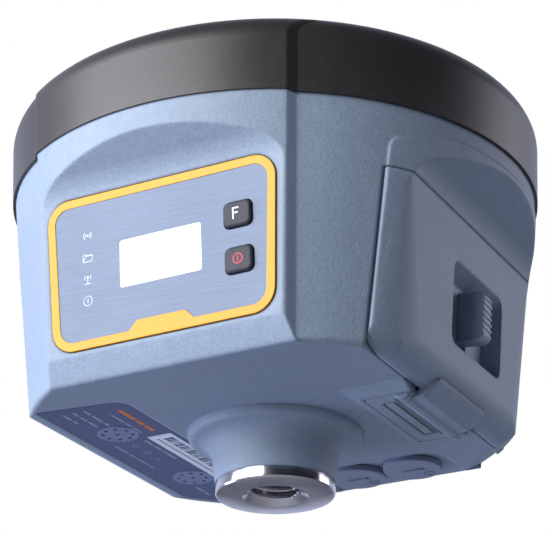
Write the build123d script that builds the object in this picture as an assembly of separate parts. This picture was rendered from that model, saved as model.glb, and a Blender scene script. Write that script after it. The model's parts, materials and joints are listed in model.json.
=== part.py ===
from build123d import *
import math
import os

# A GNSS receiver that screws onto a surveying pole. Millimetres, +Z up.
# The origin is the antenna reference point, the centre of the steel ring's lower face.
# The display panel faces -Y and the battery door faces +X.

# ---------------------------------------------------------------- driving dimensions
TOTAL_HEIGHT = 137.0     # top of the radome above the reference point
RADOME_RADIUS = 76.0     # radome wall at its lower edge
RADOME_FLARE = 0.045     # how much the radome's wall widens per millimetre going up
RADOME_RAISE = 1.24      # the radome's front and back thirds stand this far outside its wall
WALL_RADIUS = 75.1       # the housing's rim under the radome
SEAM_Z = 84.9            # lower edge of the radome
BASE_Z = 18.0            # flat underside of the housing
RADOME_WALL = 2.6
SHOULDER_RADIUS = 7.5    # rounding between the radome's wall and its sloping top
SHOULDER_Z = 101.8       # height of that rounding's centre
THIRD_REACH = 5.4        # the raised thirds run this far above the shoulder's centre
DOME_SLOPE = 31.0        # slope of the radome's top between shoulder and crown, in degrees
WALL = 3.0               # die-cast wall thickness
WALL_TAPER = 0.0985      # how much the round wall narrows per millimetre going down

PAD_RAISE = 1.6          # the housing's front and back thirds stand this far outside its wall
PAD_TAPER = 0.1
PAD_FOOT_RAISE = 1.4     # the same at the base
RIM_ROUND = 1.6          # rounding of the upright edges of the radome's thirds
PAD_ANGLE = 30.2         # half angle of a raised third, in degrees
PAD_FOOT_ANGLE = 32.3    # where its sloping side meets the round wall

DRAFT = 4.72             # lean of the flat sides, in degrees
MID_Z = 47.0             # height at which the flats' distances are given
FRONT_FLAT = 63.42       # distance of the front and back flats from the axis at MID_Z
SIDE_FLAT = 60.1         # distance of the door's flat and the one opposite
SCOOP_SLOPE = 0.685      # rise over run of the hollow above each flat
FRONT_SCOOP_Z = 71.1     # where that hollow starts, front and back
SIDE_SCOOP_Z = 69.5
SCOOP_ROUND = 11.0       # rounding between a flat and the hollow above it
FRONT_FACET = (24.6, 58.0)    # where the steeper facet under the panel starts, and how far out it ends
SHARP_ROUND = 1.4        # rounding of the lower edge at the front
SOFT_ROUND = 8.0         # rounding of the lower edge at the sides
BACK_ROUND = 11.0        # rounding of the lower edge of the back flat
CREASE_ROUND = (30.0, 7.5)    # rounding beside the side flats, at the base and at the top

BOSS_FOOT_Z = 3.33       # top of the steel ring's visible band
RING_RADIUS = 16.6
THREAD_RADIUS = 6.9      # crest radius of the 5/8 inch pole thread
THREAD_DEPTH = 22.0

PANEL_TOP = 21.37        # panel outline, measured along the front flat from MID_Z
PANEL_TOP_HALF = 34.9
PANEL_BOTTOM_HALF = 32.9
PANEL_CORNER = 6.5
PANEL_GAP = 0.3          # gap between the border and its seat
BORDER = 2.3             # width of the coloured border
PLATE_FACE = 0.35        # face of the panel plate above the housing's flat
PLATE_BACK = -0.85
KEY_SIZE = (8.0, 6.8)
KEY_U = 23.4
KEY_V = {"function_key": 6.2, "power_key": -6.25}
KEY_FACE = 1.45
KEY_GAP = 0.35
DISPLAY_SIZE = (24.6, 13.2)
DISPLAY_V = 0.0
LENS_U = -22.2
LENS_V = (10.2, 3.8, -2.1, -8.2)

DOOR_HALF = 46.1         # the door runs this far each side of the centre
DOOR_TOP = 66.9
DOOR_PLANE_X = 50.0      # the housing ends here behind the door
DOOR_GAP = 0.35
DOOR_RAISE = 0.6         # the door and the pad over it stand outside the round wall
DOOR_PAD_TOP = 80.0
DOOR_PAD_SHOULDER = (30.0, 75.6)    # half width of its level top, and height of its outer corners
DOOR_WALL = 2.6
LATCH_U = 5.2            # centre of the latch along the door
LATCH_HALF = 16.5
RECESS_MOUTH_V = (-16.4, 7.6)   # lower and upper edge of its recess along the door's flat
RECESS_FLOOR_V = (-15.0, 4.2)
RECESS_DEPTH = 4.7
LATCH_TRAVEL = 3.0
KNOB_HALF = 2.5
KNOB_V = (-11.0, 3.0)
KNOB_FACE = 3.2
KNOB_ROUND = 2.4
KNOB_GROOVES = 6

BOLT_W = (-7.5, -6.4)    # the slider, below the door's flat
COVER_W = (-8.7, -7.9)
LATCH_SCREWS = ((-17.6, -13.6), (-17.6, 5.8), (17.6, -13.6), (17.6, 5.8))
SPRING_AT = (52.4, 5.2, 23.6)

HINGE_TOP = 19.7
HINGE_X = 46.4           # hinge axis, parallel to Y
HINGE_Z = 16.9
HINGE_Y = 1.0            # middle of the hinge
HINGE_HALF = 18.0
KNUCKLE = 2.7            # width of each of the housing's knuckles
BARREL_RADIUS = 2.4
PIN_RADIUS = 1.25

BAY_LOW = (27.5, -44.0, 21.6)
BAY_HIGH = (46.8, 44.0, 65.0)
BAY_WALL = 1.6
BATTERY_LOW = (29.6, -41.0, 23.8)
BATTERY_HIGH = (48.6, 41.0, 62.4)

LABEL_X = (-49.2, -24.0)
LABEL_FRONT = (-45.3, -41.8)    # front end of the identification plate, at its outer and inner edge
LABEL_BACK = (35.5, 43.6, 41.8)    # its back end, with the outer corner cut off
LABEL_CUT_X = -41.5
LABEL_ROUND = (0.8, 4.6, 4.6, 3.0, 3.0)
GRILLE_X = -38.5
GRILLE_Y = 20.8
PORTS = {"data": (4.2, 43.4), "power": (22.0, 43.4)}
PORT_RADIUS = 5.2
CAP_RADIUS = 8.6

MAIN_BOARD_Z = 71.5
BOARD_HOLES = ((-30.0, -47.2), (-30.0, 47.2), (34.0, -47.2), (34.0, 47.2))
FEED_AT = ((7.0, 0.0), (0.0, 7.0))
DECK_Z = 88.0            # top of the antenna tray
SCREW_POSTS = ((-44.0, 37.0), (-44.0, -37.0), (54.5, 40.0), (54.5, -40.0))

# ---------------------------------------------------------------- shared geometry
LEAN = math.tan(math.radians(DRAFT))
_c, _s = math.cos(math.radians(DRAFT)), math.sin(math.radians(DRAFT))
FRONT = Plane(origin=(0, -FRONT_FLAT, MID_Z), x_dir=(1, 0, 0), z_dir=(0, -_c, -_s))
DOOR = Plane(origin=(SIDE_FLAT, 0, MID_Z), x_dir=(0, 1, 0), z_dir=(_c, 0, -_s))


def block(low, high, corner=0.0, axis=Axis.Z):
    """A box between two corners, with the edges along one axis rounded."""
    size = [abs(h - l) for l, h in zip(low, high)]
    box = Pos(*[(l + h) / 2 for l, h in zip(low, high)]) * Box(*size)
    return fillet(box.edges().filter_by(axis), corner) if corner else box


def rod(radius, z0, z1, at=(0, 0), hole=0.0):
    """An upright round bar or tube."""
    bar = Pos(at[0], at[1], (z0 + z1) / 2) * Cylinder(radius, z1 - z0)
    return bar - Pos(at[0], at[1], (z0 + z1) / 2) * Cylinder(hole, z1 - z0 + 1) if hole else bar


def rod_y(radius, y0, y1, x, z):
    """A round bar parallel to Y."""
    return Pos(x, (y0 + y1) / 2, z) * Rot(90, 0, 0) * Cylinder(radius, y1 - y0)


def slab(plane, centre, size, w0, w1, corner=0.0):
    """A rounded rectangle standing between two heights over a plane."""
    outline = RectangleRounded(*size, corner) if corner else Rectangle(*size)
    return extrude(plane.offset(w0) * Pos(*centre) * outline, amount=w1 - w0)


def near(shape, x, y):
    """The corners of a flat outline that lie at one point."""
    return [v for v in shape.vertices() if math.hypot(v.X - x, v.Y - y) < 0.05]


def round_wall(top_radius, taper, base_round, inset=0.0):
    """The tapered round wall with its rounded lower edge, as a solid."""
    low = BASE_Z + inset
    r_top = top_radius - inset
    r_low = r_top - taper * (SEAM_Z - low)
    outline = make_face(Polyline((0, low), (r_low, low), (r_top, SEAM_Z), (0, SEAM_Z), close=True))
    return revolve(Plane.XZ * fillet(near(outline, r_low, low), base_round), Axis.Z)


def flat_side(angle, distance, scoop_z, base_round, inset=0.0, facet=None):
    """All that lies inside one flat side, the hollow over it and its rounded lower edge.

    A facet is a steeper strip under the flat, given by the height of its upper edge and
    the distance of its lower one."""
    def out(z):
        return distance + (z - MID_Z) * LEAN - inset / _c
    low = BASE_Z + inset
    bend = scoop_z + inset * (math.hypot(1, SCOOP_SLOPE) - SCOOP_SLOPE)
    reach = 90.0
    foot = [(facet[1], low), (out(facet[0]), facet[0])] if facet else [(out(low), low)]
    outline = make_face(Polyline(
        (-reach, low), *foot, (out(bend), bend),
        (reach, bend + (reach - out(bend)) * SCOOP_SLOPE), (reach, 130), (-reach, 130), close=True))
    outline = fillet(near(outline, *foot[0]), base_round)
    outline = fillet(near(outline, out(bend), bend), SCOOP_ROUND + inset)
    return Rot(0, 0, angle) * extrude(Plane.XZ * outline, amount=95, both=True)


def raised_third(wall, r_low, r_top, z_low, z_top, rim_round=0.0):
    """The part of a slightly larger wall that forms the raised third at the front."""
    def outline(base_radius, raise_by):
        a, b = math.radians(PAD_ANGLE), math.radians(PAD_FOOT_ANGLE)
        edge = Vector(math.sin(a), -math.cos(a)) * (base_radius + raise_by)
        foot = Vector(math.sin(b), -math.cos(b)) * base_radius
        outer = edge + (edge - foot) * 7
        inner = foot + (foot - edge) * 2
        return make_face(Polyline((-outer.X, outer.Y), (outer.X, outer.Y), (inner.X, inner.Y),
                                  (-inner.X, inner.Y), close=True))
    low = Plane.XY.offset(z_low) * outline(*r_low)
    top = Plane.XY.offset(z_top) * outline(*r_top)
    pad = wall & loft([low, top], ruled=True)
    rims = [e for e in pad.edges()
            if abs(abs(math.degrees(math.atan2(e.center().X, -e.center().Y))) - PAD_ANGLE) < 0.6]
    return fillet(rims, rim_round) if rim_round else pad


def flats(inset=0.0, front_round=SHARP_ROUND, soft_round=SOFT_ROUND):
    """The four flat sides: front, door side, back and left."""
    facet = None if inset else FRONT_FACET
    back_round = soft_round if inset else BACK_ROUND
    sides = flat_side(-90, FRONT_FLAT, FRONT_SCOOP_Z, front_round, inset, facet)
    sides &= flat_side(0, SIDE_FLAT, SIDE_SCOOP_Z, soft_round, inset)
    sides &= flat_side(90, FRONT_FLAT, FRONT_SCOOP_Z, back_round, inset)
    return sides & flat_side(180, SIDE_FLAT, SIDE_SCOOP_Z, soft_round, inset)


def softener(side_raise):
    """A large form that rounds the creases between the side flats and the round wall.

    The rounding is widest at the base and keeps clear of the hollows over the flats."""
    slack, reach, end = 0.03, 110.0, math.radians(52)
    run = math.hypot(1, SCOOP_SLOPE)
    turn_half = math.tan((math.pi / 2 - math.atan(SCOOP_SLOPE) - math.radians(DRAFT)) / 2)
    tangent = SCOOP_ROUND * turn_half

    def outline(z, rounding, push=0.0):
        flat = SIDE_FLAT + (z - MID_Z) * LEAN + slack + push
        edges = []
        for side, wall_raise in ((1, side_raise), (-1, 0.0)):
            radius = WALL_RADIUS - WALL_TAPER * (SEAM_Z - z) + wall_raise + slack
            centre_x = flat - rounding
            centre_y = math.sqrt((radius - rounding) ** 2 - centre_x ** 2)
            turn = math.atan2(centre_y, centre_x)
            for up in (1, -1):
                def on_circle(x, y, size, angle, up=up, side=side):
                    return side * (x + size * math.cos(angle)), up * (y + size * math.sin(angle))

                def arc(x, y, size, a, b):
                    return ThreePointArc(*[on_circle(x, y, size, t) for t in (a, (a + b) / 2, b)])
                edges.append(arc(centre_x, centre_y, rounding, 0, turn))
                edges.append(arc(0, 0, radius, turn, end))
                edges.append(Line(on_circle(0, 0, radius, end), on_circle(0, 0, reach, end)))
            edges.append(Line((side * flat, centre_y), (side * flat, -centre_y)))
        far_x, far_y = reach * math.cos(end), reach * math.sin(end)
        edges += [Line((far_x, up * far_y), (-far_x, up * far_y)) for up in (1, -1)]
        return Plane.XY.offset(z) * make_face(edges)
    low, start, top = BASE_Z - 4, SIDE_SCOOP_Z - tangent, SIDE_SCOOP_Z + tangent * SCOOP_SLOPE / run
    below = outline(start, CREASE_ROUND[1])
    lower = loft([outline(low, CREASE_ROUND[0]), below], ruled=True)
    upper = loft([below, outline(top, CREASE_ROUND[1], tangent / run)], ruled=True)
    return lower + upper + rod(reach, top, 140)


def door_zone(grow=0.0, top=DOOR_TOP, half=DOOR_HALF, corner=0.0):
    """The space of the battery door, or of the raised pad over it."""
    return block((DOOR_PLANE_X - grow, -half - grow, -5), (95, half + grow, top + grow),
                 corner, Axis.X)


def cavity():
    """The hollow inside the housing."""
    inner = round_wall(WALL_RADIUS, WALL_TAPER, 2.0, WALL)
    return inner & flats(WALL, 5.0, 5.0)


def outer_form():
    """The housing's full outer form, door included."""
    sharp = round_wall(WALL_RADIUS, WALL_TAPER, SHARP_ROUND)
    soft = round_wall(WALL_RADIUS, WALL_TAPER, SOFT_ROUND)
    front_half = block((-90, -90, 0), (90, 0, 90))
    back_half = block((-90, 0, 0), (90, 90, 90))
    form = (sharp & front_half) + (soft & back_half)

    def third_at(z):
        share = (z - BASE_Z) / (SEAM_Z - BASE_Z)
        return WALL_RADIUS - WALL_TAPER * (SEAM_Z - z), PAD_FOOT_RAISE + share * (PAD_RAISE - PAD_FOOT_RAISE)
    low, top = BASE_Z - 2, SEAM_Z + 2
    third = raised_third(round_wall(WALL_RADIUS + PAD_RAISE, PAD_TAPER, SHARP_ROUND),
                         third_at(low), third_at(top), low, top)
    form += third + Rot(0, 0, 180) * third
    door_wall = round_wall(WALL_RADIUS + DOOR_RAISE, WALL_TAPER, SOFT_ROUND)
    level, corner = DOOR_PAD_SHOULDER
    outline = make_face(Polyline(
        (-DOOR_HALF, BASE_Z), (DOOR_HALF, BASE_Z), (DOOR_HALF, corner), (level, DOOR_PAD_TOP),
        (-level, DOOR_PAD_TOP), (-DOOR_HALF, corner), close=True))
    for side in (-1, 1):
        outline = fillet(near(outline, side * DOOR_HALF, corner), 4.0)
        outline = fillet(near(outline, side * level, DOOR_PAD_TOP), 20.0)
    pad = door_wall & extrude(Plane.YZ.offset(30) * outline, amount=65)
    return form, pad


def boss_form():
    """The flared neck under the base, from the steel ring up to the bead."""
    outline = make_face([
        Line((0, BOSS_FOOT_Z), (16.7, BOSS_FOOT_Z)), Line((16.7, BOSS_FOOT_Z), (17.4, 9.0)),
        ThreePointArc((17.4, 9.0), (18.9, 13.3), (22.3, 15.3)),
        ThreePointArc((22.3, 15.3), (23.9, 16.1), (24.4, BASE_Z + 0.4)),
        Line((24.4, BASE_Z + 0.4), (24.4, BASE_Z + WALL)), Line((24.4, BASE_Z + WALL), (0, BASE_Z + WALL)),
        Line((0, BASE_Z + WALL), (0, BOSS_FOOT_Z))])
    return revolve(Plane.XZ * outline, Axis.Z)


def trapezoid(grow=0.0):
    """The panel's outline, wider at the top, in the plane of the front flat."""
    top, bottom = PANEL_TOP_HALF + grow, PANEL_BOTTOM_HALF + grow
    high = PANEL_TOP + grow
    outline = make_face(Polyline((-bottom, -high), (bottom, -high), (top, high), (-top, high), close=True))
    return fillet(outline.vertices(), PANEL_CORNER + grow)


def label_outline(grow=0.0):
    """The outline of the identification plate in the base, with its outer back corner cut off."""
    x0, x1 = LABEL_X[0] - grow, LABEL_X[1] + grow
    corners = [(x0, LABEL_FRONT[0] - grow), (x1, LABEL_FRONT[1] - grow), (x1, LABEL_BACK[2] + grow),
               (LABEL_CUT_X, LABEL_BACK[1] + grow), (x0, LABEL_BACK[0] + grow)]
    outline = make_face(Polyline(*corners, close=True))
    for at, rounding in zip(corners, LABEL_ROUND):
        outline = fillet(near(outline, *at), rounding)
    return outline


# ---------------------------------------------------------------- radome
def radome():
    """The plastic cap over the antenna, with its four screw posts."""
    slope, flare = math.radians(DOME_SLOPE), math.atan(RADOME_FLARE)
    shoulder_x = RADOME_RADIUS + RADOME_FLARE * (SHOULDER_Z - SEAM_Z) - SHOULDER_RADIUS
    reach = shoulder_x + SHOULDER_RADIUS * math.sin(slope)
    rise = TOTAL_HEIGHT - SHOULDER_Z - SHOULDER_RADIUS * math.cos(slope)
    crown_reach = (reach * math.tan(slope) - rise) / (math.tan(slope) - math.tan(slope / 2))
    crown = crown_reach / math.sin(slope)

    def cap(grow, inset):
        def on_arc(centre, radius, angle):
            size = radius - inset
            return centre[0] + size * math.sin(angle), centre[1] + size * math.cos(angle)
        middle = (0, TOTAL_HEIGHT - crown)
        side = (shoulder_x + grow, SHOULDER_Z - grow * math.tan(slope))
        low = SEAM_Z - (1 if inset else 0)
        wall_top = on_arc(side, SHOULDER_RADIUS, math.pi / 2 + flare)
        wall_low = (wall_top[0] - RADOME_FLARE * (wall_top[1] - low), low)
        half_way = on_arc(side, SHOULDER_RADIUS, (math.pi / 2 + flare + slope) / 2)
        shoulder_top = on_arc(side, SHOULDER_RADIUS, slope)
        return make_face([
            Line((0, low), wall_low), Line(wall_low, wall_top),
            ThreePointArc(wall_top, half_way, shoulder_top),
            Line(shoulder_top, on_arc(middle, crown, slope)),
            ThreePointArc(on_arc(middle, crown, slope), on_arc(middle, crown, slope / 2),
                          on_arc(middle, crown, 0)),
            Line(on_arc(middle, crown, 0), (0, low))])
    outer = revolve(Plane.XZ * cap(0, 0), Axis.Z)
    raised = revolve(Plane.XZ * cap(RADOME_RAISE, 0), Axis.Z)
    low, top = SEAM_Z - 1, TOTAL_HEIGHT - 24
    top_radius = RADOME_RADIUS + RADOME_FLARE * (top - low)
    third = raised_third(raised & rod(90, SEAM_Z, SHOULDER_Z + THIRD_REACH), (RADOME_RADIUS, RADOME_RAISE),
                         (top_radius, RADOME_RAISE), low, top, RIM_ROUND)
    shell = outer + third + Rot(0, 0, 180) * third
    shell -= revolve(Plane.XZ * cap(0, RADOME_WALL), Axis.Z)
    for at in SCREW_POSTS:
        shell += rod(4.2, SEAM_Z + 1.1, TOTAL_HEIGHT, at) & outer
        shell -= rod(1.3, SEAM_Z, 98.0, at)
    return shell


def radome_gasket():
    """The sealing cord between the radome and the housing's rim."""
    return rod(73.2, SEAM_Z - 2.2, SEAM_Z - 0.4, hole=71.2)


def radome_screws():
    """Four screws that pull the radome down onto the housing."""
    screws = []
    for at in SCREW_POSTS:
        screws.append(rod(2.9, 78.4, 81.0, at) + rod(1.25, 80.9, 96.0, at))
    return Compound(screws)


# ---------------------------------------------------------------- housing
def hinge_pad():
    """The low plateau under the base that carries the hinge."""
    def outline(x0, grow):
        return Pos((x0 + DOOR_PLANE_X) / 2, HINGE_Y) * Rectangle(DOOR_PLANE_X - x0, 2 * (HINGE_HALF + grow))
    foot, root = Plane.XY.offset(16.0), Plane.XY.offset(BASE_Z + 1)
    return loft([foot * outline(34.2, 1.4), root * outline(29.0, 7.5)], ruled=True)


def lower_housing():
    """The painted die-cast body: walls, floor, flared neck, panel seat and door seat."""
    form, pad = outer_form()
    body = form + (pad & block((40, -DOOR_HALF, DOOR_TOP), (95, DOOR_HALF, 90)))
    body = body & flats() & softener(DOOR_RAISE)
    body -= cavity()
    body += boss_form() + hinge_pad()
    body -= door_zone(DOOR_GAP) - block((0, -95, DOOR_TOP + DOOR_GAP), (95, 95, 95))
    # floor of the door seat, standing between the two side walls
    inner = round_wall(WALL_RADIUS, WALL_TAPER, 2.0, 1.0) & flats(1.0, 2.0, 6.0)
    seat = block((46.8, -60, BASE_Z + 1.5), (DOOR_PLANE_X - DOOR_GAP, 60, 70)) & inner
    ledge = block((46.8, -60, DOOR_TOP + DOOR_GAP), (95, 60, 70.2)) & inner
    body += seat + ledge
    opening = block((46, BAY_LOW[1] + BAY_WALL, BAY_LOW[2] + BAY_WALL),
                    (52, BAY_HIGH[1] - BAY_WALL, BAY_HIGH[2] - BAY_WALL), 2.0, Axis.X)
    body -= opening
    # front panel seat and its windows
    body -= extrude(FRONT.offset(PLATE_BACK - 0.3) * trapezoid(PANEL_GAP), amount=6)
    body -= slab(FRONT, (KEY_U, 0), (12.6, 24.4), -8, 0, 1.5)
    body -= slab(FRONT, (0, DISPLAY_V), (31, 21), -8, 0, 1.5)
    for v in LENS_V:
        body -= extrude(FRONT.offset(-8) * Pos(LENS_U, v) * Circle(1.35), amount=8)
    # neck bore, label seat, grille holes, port holes and hinge seat
    body -= rod(12.05, -1, 30)
    body -= extrude(Plane.XY.offset(BASE_Z - 1) * label_outline(0.2), amount=1.65)
    for y in (-GRILLE_Y, GRILLE_Y):
        body -= rod(5.0, BASE_Z, 30, (GRILLE_X, y))
    body -= block((-6.5, 33.0, BASE_Z - 1), (34.5, 70, BASE_Z + 1.2), 6.0)
    for at in PORTS.values():
        body -= rod(PORT_RADIUS + 0.1, BASE_Z, 30, at)
    hinge_half = HINGE_HALF + 0.1
    body -= block((35.4, HINGE_Y - hinge_half, 10), (DOOR_PLANE_X + 3, HINGE_Y + hinge_half, HINGE_TOP))
    # keeper slot for the latch over the door
    body -= block((53.6, LATCH_U - 5, 66), (56.2, LATCH_U + 5, 69.2))
    groove = block((48.1, -45.0, 21.8), (52, 45.0, 65.4), 2.1, Axis.X)
    body -= groove - block((46, -43.4, 23.2), (53, 43.4, 64.0), 1.1, Axis.X)
    for x, y in SCREW_POSTS:
        lug = rod(5.2, 77.0, SEAM_Z, (x, y))
        lug += block((x, y - 5.2, 77.0), (x + math.copysign(20, x), y + 5.2, SEAM_Z - 3))
        body += lug & inner
        body -= rod(1.7, 70, 95, (x, y)) + rod(3.3, 60, 81.0, (x, y))
    body -= rod(73.3, SEAM_Z - 2.3, SEAM_Z + 1, hole=71.1)
    return body


# ---------------------------------------------------------------- front panel
def border():
    """The coloured border of the front panel, with the raised tab on its lower side."""
    ring = trapezoid() - trapezoid(-BORDER)
    tab = Pos(0, 0.6 - PANEL_TOP) * make_face(
        Polyline((-11.2, 0.2), (11.2, 0.2), (7.2, 4.3), (-7.2, 4.3), close=True))
    return extrude(FRONT.offset(PLATE_BACK) * (ring + fillet(tab.vertices(), 0.8)), amount=0.5 - PLATE_BACK)


def panel_plate():
    """The brushed metal plate inside the border, with its key, display and lamp openings."""
    plate = extrude(FRONT.offset(PLATE_BACK) * trapezoid(-BORDER - 0.02), amount=PLATE_FACE - PLATE_BACK)
    plate -= extrude(FRONT.offset(PLATE_BACK - 1) * Pos(0, 0.6 - PANEL_TOP) * make_face(
        Polyline((-11.3, 0), (11.3, 0), (7.25, 4.35), (-7.25, 4.35), close=True)), amount=4)
    for v in KEY_V.values():
        opening = (KEY_SIZE[0] + 2 * KEY_GAP, KEY_SIZE[1] + 2 * KEY_GAP)
        plate -= slab(FRONT, (KEY_U, v), opening, -2, 2, 1.6 + KEY_GAP)
    plate -= slab(FRONT, (0, DISPLAY_V), DISPLAY_SIZE, -2, 2, 0.8)
    for v in LENS_V:
        plate -= extrude(FRONT.offset(-2) * Pos(LENS_U, v) * Circle(1.0), amount=4)
    return plate


def panel_gasket():
    """The thin seal behind the panel plate."""
    sheet = extrude(FRONT.offset(PLATE_BACK - 0.3) * trapezoid(-0.5), amount=0.3)
    sheet -= slab(FRONT, (KEY_U, 0), (12.6, 24.4), -4, 0, 1.5)
    sheet -= slab(FRONT, (0, DISPLAY_V), (31, 21), -4, 0, 1.5)
    for v in LENS_V:
        sheet -= extrude(FRONT.offset(-4) * Pos(LENS_U, v) * Circle(1.35), amount=4)
    return sheet


def key(v):
    """A key cap with rounded edges, its retaining flange and its plunger."""
    cap = slab(FRONT, (KEY_U, v), KEY_SIZE, -1.3, KEY_FACE, 1.6)
    rim = [e for e in cap.edges() if abs((e.center() - FRONT.origin).dot(FRONT.z_dir) - KEY_FACE) < 0.01]
    cap = fillet(rim, 0.7)
    flange = slab(FRONT, (KEY_U, v), (KEY_SIZE[0] + 1.8, KEY_SIZE[1] + 1.8), -2.3, -1.25, 2.0)
    plunger = extrude(FRONT.offset(-3.1) * Pos(KEY_U, v) * Circle(1.5), amount=1.0)
    return cap + flange + plunger


def display_window():
    """The clear window over the display."""
    width, height = DISPLAY_SIZE
    return slab(FRONT, (0, DISPLAY_V), (width - 0.06, height - 0.06), PLATE_BACK, PLATE_FACE - 0.05, 0.78)


def display_module():
    """The display itself, behind its window."""
    glass = slab(FRONT, (0, DISPLAY_V), (29.5, 19.5), -2.9, -1.2, 0.6)
    carrier = slab(FRONT, (0, DISPLAY_V), (30.5, 20.5), -4.5, -2.9, 0.6)
    return glass + carrier


def status_lenses():
    """Four light guides from the lamps on the keypad board to the plate."""
    guides = []
    for v in LENS_V:
        guides.append(extrude(FRONT.offset(-4.4) * Pos(LENS_U, v) * Circle(0.97), amount=4.4 + PLATE_FACE))
    return Compound(guides)


def keypad_board():
    """The board behind the panel."""
    return slab(FRONT, (0, 0), (60, 36), -6.2, -4.6, 3.0)


def dome_switches():
    """The two snap domes that the keys press."""
    switches = []
    for v in KEY_V.values():
        seat = slab(FRONT, (KEY_U, v), (5, 5), -4.6, -4.25, 0.8)
        dome = extrude(FRONT.offset(-4.25) * Pos(KEY_U, v) * Circle(1.9), amount=0.2, taper=30)
        switches.append(seat + dome)
    return Compound(switches)


# ---------------------------------------------------------------- battery door and latch
def span(pair):
    """The middle and the length of an interval."""
    return (pair[0] + pair[1]) / 2, pair[1] - pair[0]


def recess_tool():
    """The bevelled recess in the door around the latch."""
    mouth_v, mouth_height = span(RECESS_MOUTH_V)
    floor_v, floor_height = span(RECESS_FLOOR_V)
    mouth = DOOR.offset(0) * Pos(LATCH_U, mouth_v) * RectangleRounded(2 * LATCH_HALF, mouth_height, 3.0)
    floor = (DOOR.offset(-RECESS_DEPTH) * Pos(LATCH_U, floor_v)
             * RectangleRounded(2 * LATCH_HALF - 4.0, floor_height, 1.5))
    return loft([floor, mouth], ruled=True) + extrude(mouth, amount=6)


def battery_door():
    """The hinged door: a shell that carries the latch and the hinge lug."""
    wall = round_wall(WALL_RADIUS + DOOR_RAISE, WALL_TAPER, SOFT_ROUND)
    zone = block((DOOR_PLANE_X, -DOOR_HALF, 0), (95, DOOR_HALF, DOOR_TOP))
    shell = wall & flats() & zone & softener(DOOR_RAISE)
    hollow = round_wall(WALL_RADIUS, WALL_TAPER, 4.0, DOOR_WALL) & flats(DOOR_WALL, 2.0, 5.0)
    hollow &= block((0, 3.0 - DOOR_HALF, BASE_Z + 2.6), (95, DOOR_HALF - 3.0, DOOR_TOP - 2.6))
    shell -= hollow
    mouth_v, mouth_height = span(RECESS_MOUTH_V)
    shell += slab(DOOR, (LATCH_U, mouth_v), (2 * LATCH_HALF - 0.6, mouth_height - 0.6),
                  -RECESS_DEPTH - 1.4, -1.5, 2.6)
    shell -= recess_tool()
    slot_v, slot_height = span((KNOB_V[0] - LATCH_TRAVEL - 0.4, KNOB_V[1] + 0.4))
    shell -= slab(DOOR, (LATCH_U, slot_v), (2 * KNOB_HALF + 0.8, slot_height), -9, 0, 1.2)
    shell -= slab(DOOR, (LATCH_U, 18.5), (9.0, 9.0), BOLT_W[0] - 0.4, BOLT_W[1] + 0.4)
    for u, v in LATCH_SCREWS:
        shell += extrude(DOOR.offset(COVER_W[1]) * Pos(LATCH_U + u, v) * Circle(2.2), amount=-1.4 - COVER_W[1])
        shell -= extrude(DOOR.offset(COVER_W[1] - 1) * Pos(LATCH_U + u, v) * Circle(0.82), amount=5.5)
    low, high = HINGE_Y - HINGE_HALF + KNUCKLE + DOOR_GAP, HINGE_Y + HINGE_HALF - KNUCKLE - DOOR_GAP
    side = make_face(Polyline((HINGE_X, 15.3), (51.6, 15.3), (56.6, 19.6), (50.2, 19.6), (50.2, 17.5),
                              (HINGE_X, 17.5), close=True))
    lug = Pos(0, (low + high) / 2, 0) * extrude(Plane.XZ * side, amount=(high - low) / 2, both=True)
    shell += lug + rod_y(BARREL_RADIUS, low, high, HINGE_X, HINGE_Z)
    return shell - rod_y(PIN_RADIUS + 0.06, low - 1, high + 1, HINGE_X, HINGE_Z)


def door_gasket():
    """The rectangular seal set in the housing's seat behind the door."""
    outer = block((48.2, -44.9, 21.9), (49.6, 44.9, 65.3), 2.0, Axis.X)
    return outer - block((48, -43.5, 23.1), (50, 43.5, 64.1), 1.2, Axis.X)


def latch_knob():
    """The ribbed knob that slides down to free the door."""
    v, height = span(KNOB_V)
    knob = slab(DOOR, (LATCH_U, v), (2 * KNOB_HALF, height), BOLT_W[1], KNOB_FACE)
    ends = [e for e in knob.edges().filter_by(Axis.Y)
            if abs((e.center() - DOOR.origin).dot(DOOR.z_dir) - KNOB_FACE) < 0.01]
    knob = fillet(ends, KNOB_ROUND)
    for i in range(KNOB_GROOVES):
        at = v + (i - (KNOB_GROOVES - 1) / 2) * 1.75
        groove = DOOR.offset(KNOB_FACE + 0.25) * Pos(LATCH_U, at) * Rot(0, 90, 0)
        knob -= groove * Cylinder(0.7, 2 * KNOB_HALF + 1)
    return knob


def latch_bolt():
    """The slider behind the door's recess, with the bolt at its upper end."""
    plate_v, plate_height = span((-15.5, 7.0))
    bolt_v, bolt_height = span((6.0, 19.6))
    plate = slab(DOOR, (LATCH_U, plate_v), (24.0, plate_height), *BOLT_W, 1.5)
    return plate + slab(DOOR, (LATCH_U, bolt_v), (8.0, bolt_height), *BOLT_W)


def latch_spring():
    """The coil spring that pushes the slider up."""
    wire = Helix(pitch=1.7, height=6.8, radius=1.5, center=(0, 0, 0))
    start = Plane(origin=wire @ 0, z_dir=wire % 0)
    coil = sweep(start * Circle(0.24), path=wire)
    return Pos(SPRING_AT[0], SPRING_AT[1], SPRING_AT[2]) * coil


def latch_cover():
    """The plate that keeps the slider in the door."""
    v, height = span((-16.0, 8.2))
    cover = slab(DOOR, (LATCH_U, v), (40.0, height), *COVER_W, 2.0)
    for u, v in LATCH_SCREWS:
        cover -= extrude(DOOR.offset(COVER_W[0] - 1) * Pos(LATCH_U + u, v) * Circle(1.0), amount=3)
    return cover


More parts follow.
